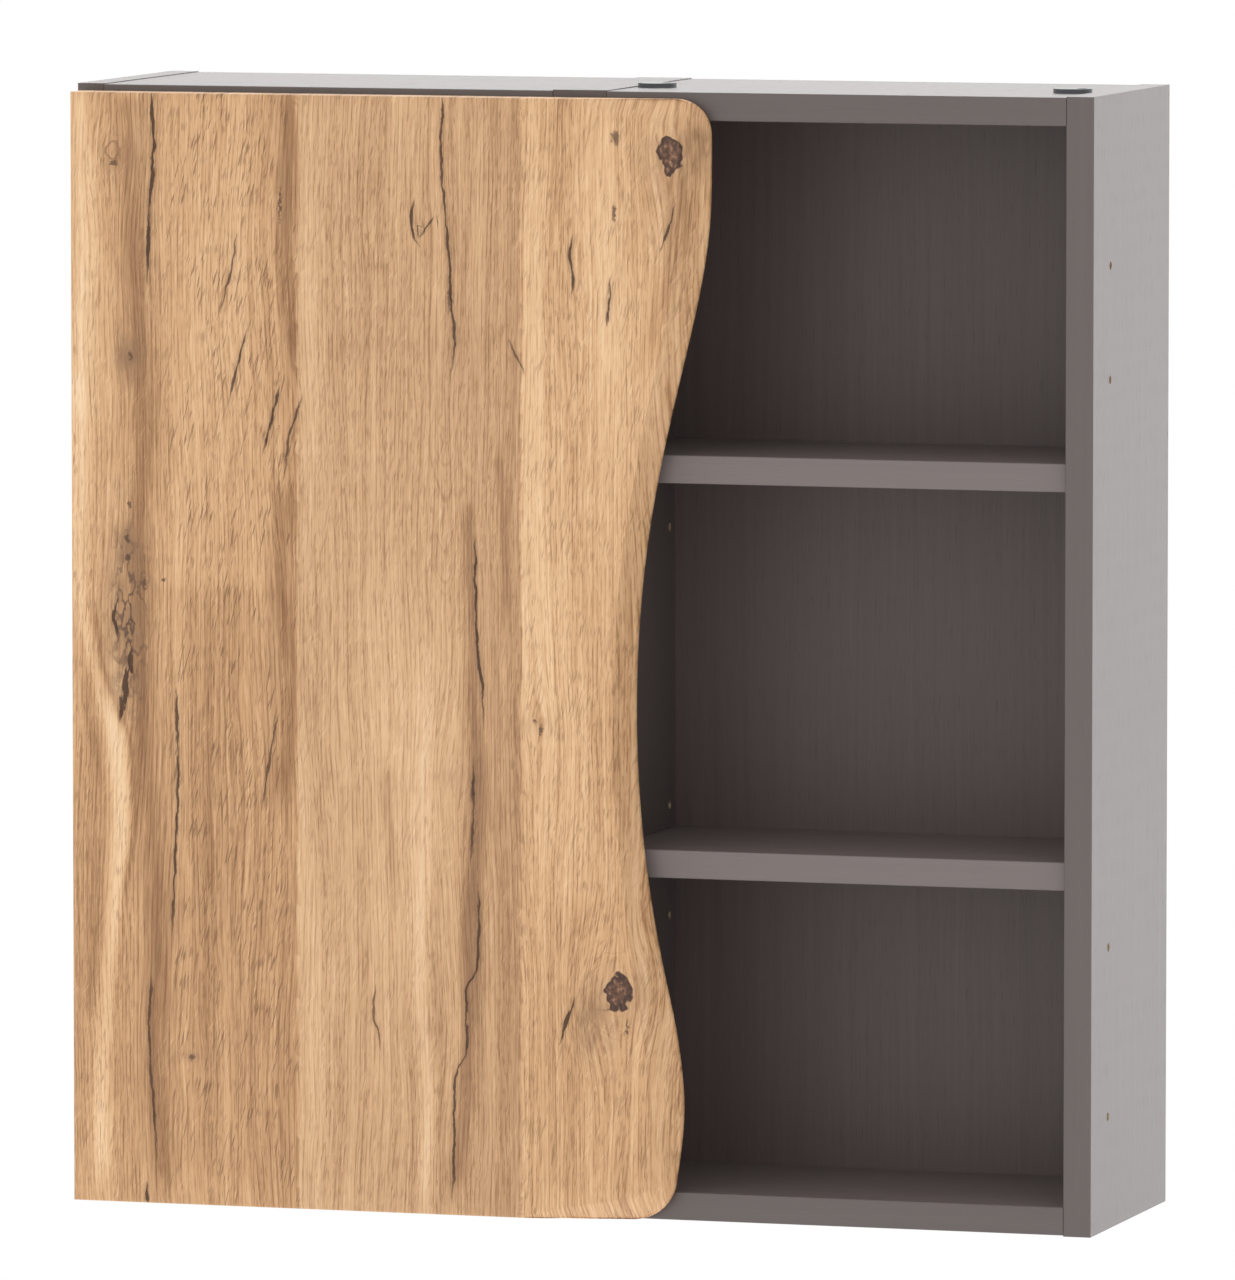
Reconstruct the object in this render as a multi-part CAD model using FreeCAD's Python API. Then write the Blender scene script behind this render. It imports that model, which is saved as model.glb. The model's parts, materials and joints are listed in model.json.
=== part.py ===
"""Wall-hung cabinet of two joined modules, with a wavy-edged swing door on the left one.

Millimetres. X runs to the right, the front looks along -Y and +Z is up. The wall is the
plane y = 0. Heights are first measured from the cabinet's underside, and every node is then
lowered so that the origin lies on the wall, midway between the outer hanging holes.
"""
import FreeCAD
import Part
import math
import os
from FreeCAD import Vector

# Cabinet
module_width = 300.0
cabinet_height = 640.0
cabinet_depth = 165.0
board = 16.0
band = 1.0
end_panel_inset = 0.5

# Back panel and its groove
back_thickness = 3.0
back_setback = 133.0
groove_depth = 8.0
groove_play = 0.2
back_edge_play = 0.5

# Shelves, on the 32 mm drilling grid
grid = 32.0
front_row = 37.0
rear_row_gap = 11.0
lower_shelf_row = 6
upper_shelf_row_from_top = 7
spare_rows = 1
shelf_recess = 5.0
shelf_back_gap = 1.0
shelf_end_gap = 0.5
shelf_seat_gap = 0.05
shelf_pin_radius = 2.45
shelf_pin_length = 16.0
shelf_pin_depth = 8.0
pin_hole_play = 0.05
pin_hole_depth = 9.0

# Panel joints: one connector between two dowels
connector_setback = 58.0
front_dowel_setback = 22.0
rear_dowel_gap = 25.0
housing_inset = 12.0
housing_radius = 10.0
housing_depth = 12.5
housing_play = 0.05
cap_radius = 11.0
cap_height = 2.5
cap_slot_radius = 3.0
cap_slot_depth = 1.2
bolt_radius = 3.5
bolt_side_depth = 11.0
bolt_reach = 8.0
dowel_radius = 4.0
dowel_length = 30.0
dowel_side_depth = 11.0
dowel_play = 0.05

# Screws that join the two modules, and the holes that take a further module
link_row_low = (2, 5)
link_row_high = (3, 5)
link_hole_radius = 2.5
link_hole_depth = 12.0
sleeve_radius = 4.0
sleeve_bore = 3.0
join_screw_radius = 2.5
join_head_radius = 7.5
join_head_height = 1.5
join_hole_play = 0.1

# Hanging brackets behind the back panel
hook_drop = 45.0
hook_inset = 18.0
hook_hole_radius = 4.5
bracket_width = 32.0
bracket_height = 40.0
bracket_reach = 27.0
bracket_gauge = 2.0
bracket_screw_pitch = 24.0

# Door
door_gap = 3.0
door_thickness = 19.0
door_top_drop = 4.0
door_bottom_rise = 1.0
door_left_inset = 3.0
thin_edge = 3.0
top_corner_radius = 20.0
bottom_corner_radius = 25.0
top_corner_overhang = 79.0
bottom_corner_overhang = 59.0
top_corner_bevel = 12.0
bottom_corner_bevel = 13.0
top_bevel_fade = 54.0
bottom_bevel_fade = 64.0
# The free edge from top to bottom: reach past the cabinet's middle, share of the door's
# height, and width of the bevel there
wave = (
    (78.0, 0.890, 13.0),
    (61.0, 0.754, 10.0),
    (43.5, 0.625, 8.0),
    (35.0, 0.463, 8.0),
    (42.0, 0.302, 9.0),
    (50.5, 0.228, 11.0),
    (60.0, 0.156, 14.0),
    (62.8, 0.092, 16.0),
)

# Door hinges
hinge_rows = (2, 3)
cup_edge = 3.0
cup_radius = 17.5
cup_hole_depth = 13.0
cup_depth = 12.6
cup_play = 0.1
cup_wall = 0.8
flange_radius = 18.5
flange_gauge = 1.2
flange_wing_length = 60.0
flange_wing_width = 12.0
cup_screw_pitch = 48.0
cup_screw_offset = 6.0
pin_inset = 7.0
pin_depth = 9.0
hinge_pin_radius = 1.0
hinge_pin_play = 0.05
hinge_pin_end_play = 0.1
pin_boss_play = 1.0
pin_boss_wall = 1.2
eye_radius = 2.1
arm_width = 8.0
nose_gauge = 2.0
arm_gauge = 3.0
arm_foot_width = 14.0
arm_foot_start = 14.0
arm_end = 58.0
plate_rise = 7.0
plate_start = 22.0
plate_end = 60.0
plate_block_width = 16.0
plate_wing_height = 48.0
plate_wing_width = 14.0
plate_wing_gauge = 2.5

# Wood screws: shank radius, head radius, head height, length under the head
bracket_screw = (1.9, 4.0, 1.6, 13.0)
plate_screw = (2.4, 4.2, 1.8, 14.0)
cup_screw = (1.7, 3.4, 1.4, 11.0)
arm_screw = (2.0, 3.6, 1.8, 8.0)
screw_play = 0.05
screw_tip_room = 1.0

# Door bumpers
bumper_radius = 4.0
bumper_height = 2.6
bumper_end_distance = 30.0

# Derived places
half_width = module_width
front = -cabinet_depth
board_front = front + band
back_front = front + back_setback
back_rear = back_front + back_thickness
row_setbacks = (front_row, back_setback - rear_row_gap)
shelf_pin_heights = (
    grid * lower_shelf_row,
    cabinet_height - grid * upper_shelf_row_from_top,
)
dowel_setbacks = (front_dowel_setback, back_setback - rear_dowel_gap)
hook_height = cabinet_height - hook_drop
panel_levels = {
    "bottom": end_panel_inset,
    "top": cabinet_height - board - end_panel_inset,
}
door_back = front - door_gap
door_front = door_back - door_thickness
door_left = -half_width + door_left_inset
door_bottom = door_bottom_rise
door_top = cabinet_height - door_top_drop
pin_x = door_left + pin_inset
pin_y = door_back - pin_depth
cup_x = door_left + cup_edge + cup_radius
cup_outer_radius = cup_radius - cup_play
pin_offset = cup_x - pin_x + hinge_pin_radius
pin_half_length = math.sqrt(cup_outer_radius**2 - pin_offset**2) - hinge_pin_end_play
plate_top = -half_width + board + plate_rise
hinge_heights = (
    grid * sum(hinge_rows) / 2,
    cabinet_height - grid * sum(hinge_rows) / 2,
)
link_heights_low = tuple(grid * row for row in link_row_low)
link_heights_high = tuple(cabinet_height - grid * row for row in link_row_high)
join_heights = (link_heights_low[0], link_heights_high[0])

# Each side panel: the x of its inner face, and the way its outer face looks
sides = {
    "left_outer_side": (-half_width + board, -1),
    "left_inner_side": (-board, 1),
    "right_inner_side": (board, -1),
    "right_outer_side": (half_width - board, 1),
}
# Each module: the inner faces of its two sides, and the way its top connectors face
modules = {
    "left": (-half_width + board, -board, -1),
    "right": (board, half_width - board, 1),
}


def box(x0, x1, y0, y1, z0, z1):
    size = (abs(x1 - x0), abs(y1 - y0), abs(z1 - z0))
    return Part.makeBox(*size, Vector(min(x0, x1), min(y0, y1), min(z0, z1)))


def rod(radius, start, end):
    along = Vector(*end) - Vector(*start)
    return Part.makeCylinder(radius, along.Length, Vector(*start), along)


def cut(solid, tools):
    return solid.cut(Part.makeCompound(tools)) if tools else solid


def export(name, shapes):
    """Write one node; the list holds its separate solids."""
    solids = [solid for shape in shapes for solid in shape.Solids]
    node = solids[0] if len(solids) == 1 else Part.makeCompound(solids)
    node.translate(Vector(0, 0, -hook_height))
    node.exportStep(f"parts/{name}.step")


def screw(form, seat, way):
    """A pan-head screw. Its head stands on seat and its shank runs along way."""
    shank, head, head_height, length = form
    seat = Vector(*seat)
    way = Vector(*way)
    body = Part.makeCylinder(shank, length, seat, way)
    return body.fuse(Part.makeCylinder(head, head_height, seat, way * -1)).removeSplitter()


def screw_hole(form, seat, way):
    shank, _, _, length = form
    depth = length + screw_tip_room
    return Part.makeCylinder(shank + screw_play, depth, Vector(*seat), Vector(*way))


def shelf_levels():
    return [height + shelf_pin_radius + shelf_seat_gap for height in shelf_pin_heights]


# Joints between a side panel and the end panels -------------------------------------------

def housing_faces(module):
    """The face each panel's housings are let in from: +1 for the upper one, -1 for the lower."""
    return {"bottom": -1, "top": modules[module][2]}


def joints(module):
    """Every end of a module's two end panels: inner side face, inward way, level and face."""
    left_face, right_face, _ = modules[module]
    faces = housing_faces(module)
    for panel, level in panel_levels.items():
        for face_x, inward in ((left_face, 1), (right_face, -1)):
            yield face_x, inward, level, faces[panel]


def dowel_span(joint, play):
    face_x, inward, level, _ = joint
    start = face_x - inward * (dowel_side_depth + play)
    end = start + inward * (dowel_length + 2 * play)
    return start, end, level + board / 2


def dowel_rods(joint, radius, play):
    start, end, z = dowel_span(joint, play)
    return [rod(radius, (start, front + y, z), (end, front + y, z)) for y in dowel_setbacks]


def bolt_rod(joint, radius, play):
    face_x, inward, level, _ = joint
    y = front + connector_setback
    z = level + board / 2
    start = face_x - inward * (bolt_side_depth + play)
    end = face_x + inward * (bolt_reach + play)
    return rod(radius, (start, y, z), (end, y, z))


def housing_rod(joint, radius, play):
    face_x, inward, level, way = joint
    x = face_x + inward * housing_inset
    y = front + connector_setback
    mouth = level + (board if way > 0 else 0)
    return rod(radius, (x, y, mouth), (x, y, mouth - way * (housing_depth + play)))


def connector_cap(joint):
    face_x, inward, level, way = joint
    x = face_x + inward * housing_inset
    y = front + connector_setback
    mouth = level + (board if way > 0 else 0)
    top = mouth + way * cap_height
    disc = rod(cap_radius, (x, y, mouth), (x, y, top))
    slot_x = x + cap_radius / 2
    slot = rod(cap_slot_radius, (slot_x, y, top), (slot_x, y, top - way * cap_slot_depth))
    return disc.cut(slot)


def all_joints():
    return [joint for module in modules for joint in joints(module)]


# Boards -----------------------------------------------------------------------------------

def groove(x0, x1, z0, z1):
    return box(x0, x1, back_front - groove_play, back_rear + groove_play, z0, z1)


def shelf_pin_holes(face_x, outward):
    """Blind holes for the pins of each shelf, with spare rows above and below."""
    holes = []
    radius = shelf_pin_radius + pin_hole_play
    for height in shelf_pin_heights:
        for spare in range(-spare_rows, spare_rows + 1):
            z = height + grid * spare
            for setback in row_setbacks:
                start = (face_x, front + setback, z)
                end = (face_x + outward * pin_hole_depth, front + setback, z)
                holes.append(rod(radius, start, end))
    return holes


def bracket_screws(face_x, outward):
    seat_x = face_x - outward * bracket_gauge
    y = -bracket_reach / 2
    for z in (-bracket_screw_pitch / 2, bracket_screw_pitch / 2):
        yield (seat_x, y, hook_height + z), (outward, 0, 0)


def plate_screws():
    for height in hinge_heights:
        for z in (height - grid / 2, height + grid / 2):
            seat_x = -half_width + board + plate_wing_gauge
            yield (seat_x, front + front_row, z), (-1, 0, 0)


def side_panel(name):
    face_x, outward = sides[name]
    outer_x = face_x + outward * board
    panel = box(face_x, outer_x, board_front, 0, 0, cabinet_height)
    low = panel_levels["bottom"] + board - groove_depth
    high = panel_levels["top"] + groove_depth
    tools = [groove(face_x, face_x + outward * groove_depth, low, high)]
    tools += shelf_pin_holes(face_x, outward)
    tools += [screw_hole(bracket_screw, *place) for place in bracket_screws(face_x, outward)]
    for joint in all_joints():
        if joint[0] == face_x:
            tools += dowel_rods(joint, dowel_radius + dowel_play, dowel_play)
            tools.append(bolt_rod(joint, bolt_radius + dowel_play, dowel_play))
    y = front + front_row
    if name == "left_outer_side":
        tools += [screw_hole(plate_screw, *place) for place in plate_screws()]
    if name == "right_outer_side":
        for z in link_heights_low + link_heights_high:
            tools.append(rod(link_hole_radius, (outer_x, y, z), (outer_x - link_hole_depth, y, z)))
    if name in ("left_inner_side", "right_inner_side"):
        for z in join_heights:
            tools.append(rod(sleeve_radius + join_hole_play, (-board, y, z), (board, y, z)))
    return cut(panel, tools)


def end_panel(module, panel):
    left_face, right_face, _ = modules[module]
    level = panel_levels[panel]
    solid = box(left_face, right_face, board_front, 0, level, level + board)
    inner = level + board if panel == "bottom" else level
    into = -groove_depth if panel == "bottom" else groove_depth
    tools = [groove(left_face, right_face, inner, inner + into)]
    for joint in joints(module):
        if joint[2] == level:
            tools += dowel_rods(joint, dowel_radius + dowel_play, dowel_play)
            tools.append(bolt_rod(joint, bolt_radius + dowel_play, dowel_play))
            tools.append(housing_rod(joint, housing_radius + housing_play, housing_play))
    return cut(solid, tools)


def back_panel(module):
    left_face, right_face, _ = modules[module]
    reach = groove_depth - back_edge_play
    low = panel_levels["bottom"] + board - reach
    high = panel_levels["top"] + reach
    return box(left_face - reach, right_face + reach, back_front, back_rear, low, high)


def shelf_span(module):
    left_face, right_face, _ = modules[module]
    return left_face + shelf_end_gap, right_face - shelf_end_gap


def shelf(module, level):
    x0, x1 = shelf_span(module)
    y0 = front + shelf_recess + band
    return box(x0, x1, y0, back_front - shelf_back_gap, level, level + board)


def shelf_pins(module):
    pins = []
    left_face, right_face, _ = modules[module]
    for z in shelf_pin_heights:
        for setback in row_setbacks:
            for face_x, inward in ((left_face, 1), (right_face, -1)):
                start = face_x - inward * shelf_pin_depth
                end = start + inward * shelf_pin_length
                y = front + setback
                pins.append(rod(shelf_pin_radius, (start, y, z), (end, y, z)))
    return pins


# Edge bands -------------------------------------------------------------------------------

def side_band(name):
    face_x, outward = sides[name]
    return box(face_x, face_x + outward * board, front, board_front, 0, cabinet_height)


def end_band(module, level):
    left_face, right_face, _ = modules[module]
    return box(left_face, right_face, front, board_front, level, level + board)


def shelf_band(module, level):
    x0, x1 = shelf_span(module)
    y0 = front + shelf_recess
    return box(x0, x1, y0, y0 + band, level, level + board)


# Fittings ---------------------------------------------------------------------------------

def connector_housing(joint):
    body = housing_rod(joint, housing_radius, 0)
    return body.cut(bolt_rod(joint, bolt_radius + dowel_play, dowel_play))


def hanging_bracket(face_x, outward):
    """An angle on the side's inner face, with the hanging hole in its rear flange."""
    inward = -outward
    low = hook_height - bracket_height / 2
    high = hook_height + bracket_height / 2
    side_flange = box(face_x, face_x + inward * bracket_gauge, -bracket_reach, 0, low, high)
    rear_flange = box(face_x, face_x + inward * bracket_width, -bracket_gauge, 0, low, high)
    hook_x = face_x + inward * hook_inset
    hole = rod(hook_hole_radius, (hook_x, -bracket_gauge, hook_height), (hook_x, 0, hook_height))
    tools = [hole]
    tools += [screw_hole(bracket_screw, *place) for place in bracket_screws(face_x, outward)]
    return cut(side_flange.fuse(rear_flange).removeSplitter(), tools)


def join_sleeve(z):
    y = front + front_row
    tube = rod(sleeve_radius, (-board, y, z), (board, y, z))
    head = rod(join_head_radius, (-board - join_head_height, y, z), (-board, y, z))
    bore = rod(sleeve_bore, (-board, y, z), (board, y, z))
    return tube.fuse(head).removeSplitter().cut(bore)


def join_screw(z):
    y = front + front_row
    shank = rod(join_screw_radius, (-board, y, z), (board, y, z))
    head = rod(join_head_radius, (board, y, z), (board + join_head_height, y, z))
    return shank.fuse(head).removeSplitter()


def hinge_plate(height):
    """A raised block on the side's inner face, with a screw wing above and below."""
    face_x = -half_width + board
    low = height - plate_block_width / 2
    high = height + plate_block_width / 2
    block = box(face_x, plate_top, front + plate_start, front + plate_end, low, high)
    wing_front = front + front_row - plate_wing_width / 2
    wing = box(
        face_x,
        face_x + plate_wing_gauge,
        wing_front,
        wing_front + plate_wing_width,
        height - plate_wing_height / 2,
        height + plate_wing_height / 2,
    )
    tools = [screw_hole(plate_screw, *place) for place in plate_screws()]
    tools.append(screw_hole(arm_screw, *arm_screw_place(height)))
    return cut(block.fuse(wing).removeSplitter(), tools)


def arm_screw_place(height):
    y = front + (plate_start + plate_end) / 2
    return (plate_top + arm_gauge, y, height), (-1, 0, 0)


def hinge_arm(height):
    """From an eye round the pin, straight across the cup and then back along the plate."""
    low = height - arm_width / 2
    high = height + arm_width / 2
    eye = rod(eye_radius, (pin_x, pin_y, low), (pin_x, pin_y, high))
    nose_front = pin_y - nose_gauge / 2
    outer_x = plate_top + arm_gauge
    nose = box(pin_x, outer_x, nose_front, nose_front + nose_gauge, low, high)
    leg = box(plate_top, outer_x, nose_front, front + arm_foot_start, low, high)
    foot_low = height - arm_foot_width / 2
    foot_high = height + arm_foot_width / 2
    foot = box(plate_top, outer_x, front + arm_foot_start, front + arm_end, foot_low, foot_high)
    arm = eye.multiFuse([nose, leg, foot]).removeSplitter()
    bore = rod(hinge_pin_radius + hinge_pin_play, (pin_x, pin_y, low), (pin_x, pin_y, high))
    return cut(arm, [bore, screw_hole(arm_screw, *arm_screw_place(height))])


def hinge_pin(height):
    low = height - pin_half_length
    high = height + pin_half_length
    return rod(hinge_pin_radius, (pin_x, pin_y, low), (pin_x, pin_y, high))


def pin_bosses(height):
    """Two blocks inside the cup, above and below the arm, that hold the pin's ends."""
    reach = hinge_pin_radius + pin_boss_wall
    floor = door_back - cup_depth
    blocks = []
    for way in (-1, 1):
        near = height + way * (arm_width / 2 + pin_boss_play)
        far = height + way * cup_outer_radius
        blocks.append(box(pin_x - reach, pin_x + reach, floor, pin_y + reach, near, far))
    return blocks


def cup_screws():
    for height in hinge_heights:
        for z in (height - cup_screw_pitch / 2, height + cup_screw_pitch / 2):
            yield (cup_x + cup_screw_offset, door_back + flange_gauge, z), (0, -1, 0)


def hinge_cup(height):
    """A round cup let into the door, with a flange and two screw wings on the door's back."""
    mouth = door_back + flange_gauge
    floor = door_back - cup_depth
    body = rod(cup_outer_radius, (cup_x, door_back, height), (cup_x, floor, height))
    flange = rod(flange_radius, (cup_x, door_back, height), (cup_x, mouth, height))
    wing = box(
        cup_x,
        cup_x + flange_wing_width,
        door_back,
        mouth,
        height - flange_wing_length / 2,
        height + flange_wing_length / 2,
    )
    inner_radius = cup_outer_radius - cup_wall
    inside = rod(inner_radius, (cup_x, mouth, height), (cup_x, floor + cup_wall, height))
    inside = cut(inside, pin_bosses(height))
    cup = body.multiFuse([flange, wing]).removeSplitter()
    tools = [inside, hinge_pin(height)]
    tools += [screw_hole(cup_screw, *place) for place in cup_screws()]
    return cut(cup, tools)


def bumper(z):
    x = -board / 2
    return rod(bumper_radius, (x, door_back, z), (x, door_back + bumper_height, z))


# Door -------------------------------------------------------------------------------------

def arc(centre, radius, y, angles):
    """A corner arc through three angles, in degrees, in the plane at y."""
    points = []
    for angle in angles:
        turn = FreeCAD.Rotation(Vector(0, -1, 0), angle)
        points.append(Vector(centre[0], y, centre[1]) + turn.multVec(Vector(radius, 0, 0)))
    return Part.Arc(*points).toShape()


def line(a, b, y):
    return Part.makeLine(Vector(a[0], y, a[1]), Vector(b[0], y, b[1]))


def door_outline(y, bevelled):
    """The door's edges in the plane at y, at full size or set in by the bevel."""
    share = 1.0 if bevelled else 0.0
    top_centre = (top_corner_overhang - top_corner_radius, door_top - top_corner_radius)
    bottom_centre = (
        bottom_corner_overhang - bottom_corner_radius,
        door_bottom + bottom_corner_radius,
    )
    top_radius = top_corner_radius - share * top_corner_bevel
    bottom_radius = bottom_corner_radius - share * bottom_corner_bevel
    top_fade = (top_centre[0] - top_bevel_fade, door_top)
    top_end = (top_centre[0], top_centre[1] + top_radius)
    bottom_fade = (bottom_centre[0] - bottom_bevel_fade, door_bottom)
    bottom_end = (bottom_centre[0], bottom_centre[1] - bottom_radius)
    points = [Vector(top_centre[0] + top_radius, y, top_centre[1])]
    for reach, height_share, bevel in wave:
        z = door_bottom + height_share * (door_top - door_bottom)
        points.append(Vector(reach - share * bevel, y, z))
    points.append(Vector(bottom_centre[0] + bottom_radius, y, bottom_centre[1]))
    free_edge = Part.BSplineCurve()
    down = Vector(0, 0, -1)
    free_edge.interpolate(Points=points, InitialTangent=down, FinalTangent=down)
    return [
        line((door_left, door_bottom), (door_left, door_top), y),
        line((door_left, door_top), top_fade, y),
        line(top_fade, top_end, y),
        arc(top_centre, top_radius, y, (90, 45, 0)),
        free_edge.toShape(),
        arc(bottom_centre, bottom_radius, y, (0, -45, -90)),
        line(bottom_end, bottom_fade, y),
        line(bottom_fade, (door_left, door_bottom), y),
    ]


def door_panel():
    """A slab whose free edge is bevelled on the front down to a thin edge at the back."""
    bevel_start = door_back - thin_edge
    back_edges = door_outline(bevel_start, False)
    front_edges = door_outline(door_front, True)
    faces = [Part.makeRuledSurface(a, b) for a, b in zip(back_edges, front_edges)]
    faces.append(Part.Face(Part.Wire(back_edges)))
    faces.append(Part.Face(Part.Wire(front_edges)))
    shell = Part.makeShell(faces)
    shell.sewShape()
    front_part = Part.Solid(shell)
    if front_part.Volume < 0:
        front_part.reverse()
    slab = Part.Face(Part.Wire(door_outline(door_back, False))).extrude(Vector(0, -thin_edge, 0))
    door = slab.fuse(front_part).removeSplitter()
    tools = []
    for height in hinge_heights:
        depth = door_back - cup_hole_depth
        tools.append(rod(cup_radius, (cup_x, door_back, height), (cup_x, depth, height)))
    tools += [screw_hole(cup_screw, *place) for place in cup_screws()]
    return cut(door, tools)


def build():
    os.makedirs("parts", exist_ok=True)
    for name in sides:
        export(name, [side_panel(name)])
    for module in modules:
        for panel in ("top", "bottom"):
            export(f"{module}_{panel}_panel", [end_panel(module, panel)])
        export(f"{module}_back_panel", [back_panel(module)])
        for name, level in zip(("lower", "upper"), shelf_levels()):
            export(f"{module}_{name}_shelf", [shelf(module, level)])
        export(f"{module}_shelf_pins", shelf_pins(module))
        levels = panel_levels.values()
        export(f"{module}_panel_bands", [end_band(module, level) for level in levels])
        export(f"{module}_shelf_bands", [shelf_band(module, level) for level in shelf_levels()])
        ends = list(joints(module))
        export(f"{module}_housings", [connector_housing(joint) for joint in ends])
        export(f"{module}_caps", [connector_cap(joint) for joint in ends])
        export(f"{module}_bolts", [bolt_rod(joint, bolt_radius, 0) for joint in ends])
        dowels = [dowel for joint in ends for dowel in dowel_rods(joint, dowel_radius, 0)]
        export(f"{module}_dowels", dowels)
    export("side_bands", [side_band(name) for name in sides])
    export("hanging_brackets", [hanging_bracket(*side) for side in sides.values()])
    places = [place for side in sides.values() for place in bracket_screws(*side)]
    export("bracket_screws", [screw(bracket_screw, *place) for place in places])
    export("join_sleeves", [join_sleeve(z) for z in join_heights])
    export("join_screws", [join_screw(z) for z in join_heights])
    export("hinge_plates", [hinge_plate(height) for height in hinge_heights])
    export("plate_screws", [screw(plate_screw, *place) for place in plate_screws()])
    export("hinge_arms", [hinge_arm(height) for height in hinge_heights])
    export("arm_screws", [screw(arm_screw, *arm_screw_place(z)) for z in hinge_heights])
    export("door_panel", [door_panel()])
    export("hinge_cups", [hinge_cup(height) for height in hinge_heights])
    export("cup_screws", [screw(cup_screw, *place) for place in cup_screws()])
    export("hinge_pins", [hinge_pin(height) for height in hinge_heights])
    ends = (door_bottom + bumper_end_distance, door_top - bumper_end_distance)
    export("door_bumpers", [bumper(z) for z in ends])


build()
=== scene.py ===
"""Looks of the wall cabinet: camera, light, materials, and the door's natural edge."""
import bmesh
import bpy
import json
import math
import numpy as np
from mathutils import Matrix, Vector


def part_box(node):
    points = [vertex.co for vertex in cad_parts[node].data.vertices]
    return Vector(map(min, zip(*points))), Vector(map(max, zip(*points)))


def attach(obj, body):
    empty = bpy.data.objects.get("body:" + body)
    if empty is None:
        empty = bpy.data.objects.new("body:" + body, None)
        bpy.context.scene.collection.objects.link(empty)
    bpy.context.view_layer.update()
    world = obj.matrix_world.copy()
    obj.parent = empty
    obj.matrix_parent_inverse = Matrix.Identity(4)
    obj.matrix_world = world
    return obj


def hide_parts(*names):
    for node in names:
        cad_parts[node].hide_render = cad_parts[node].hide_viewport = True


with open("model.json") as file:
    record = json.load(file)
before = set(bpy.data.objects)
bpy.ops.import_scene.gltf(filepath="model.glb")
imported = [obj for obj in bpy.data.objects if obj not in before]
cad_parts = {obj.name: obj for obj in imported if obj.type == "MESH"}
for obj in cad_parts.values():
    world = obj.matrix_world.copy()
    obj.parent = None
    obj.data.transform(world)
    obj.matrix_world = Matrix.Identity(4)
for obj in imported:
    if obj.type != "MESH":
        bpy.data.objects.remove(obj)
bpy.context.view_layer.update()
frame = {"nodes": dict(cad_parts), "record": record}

MM = 0.001

# The cabinet, read from the frame
SIDE_LOW, SIDE_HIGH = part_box("right_outer_side")
BAND_LOW, BAND_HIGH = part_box("side_bands")
DOOR_LOW, DOOR_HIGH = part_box("door_panel")
UNDERSIDE = SIDE_LOW.z
FRONT = BAND_LOW.y
BACK_PANEL_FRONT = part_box("right_back_panel")[0].y

# Drilling in the sides, and the rounding of their edge bands
GRID = 32.0
FRONT_ROW = FRONT + 37 * MM
REAR_ROW = BACK_PANEL_FRONT - 11 * MM
HOLE_RADIUS = 2.7
BAND_ROUND = 0.8 * MM

# Hinge cups in the door's back
CUP_RADIUS = 17.5 * MM
CUP_CENTRE = 18.5 * MM
CUP_DEPTH = 13 * MM
CUP_SIDES = 96

# Door edge, in millimetres
BEVEL_DEPTH = 15.6
TOP_FADE = 54.0
BOTTOM_FADE = 64.0
EDGE_ROUND = 1.6
BACK_ROUND = 0.6
ROW_STEP = 2.0
# Points of the free edge, x and height, between the lowest bulge and the bottom corner
LOWER_SWEEP = ((63.0, 60.0), (62.5, 51.0), (61.4, 41.0), (60.0, 31.0))

# Bevel width at shares of the door's height, from the bottom up
BEVEL_WIDTHS = (
    (0.0, 13.0),
    (0.09, 16.0),
    (0.16, 14.5),
    (0.25, 11.0),
    (0.33, 9.0),
    (0.47, 8.0),
    (0.62, 8.0),
    (0.76, 10.0),
    (0.89, 14.0),
    (1.0, 13.0),
)


# Shader graphs ----------------------------------------------------------------------------

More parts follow.
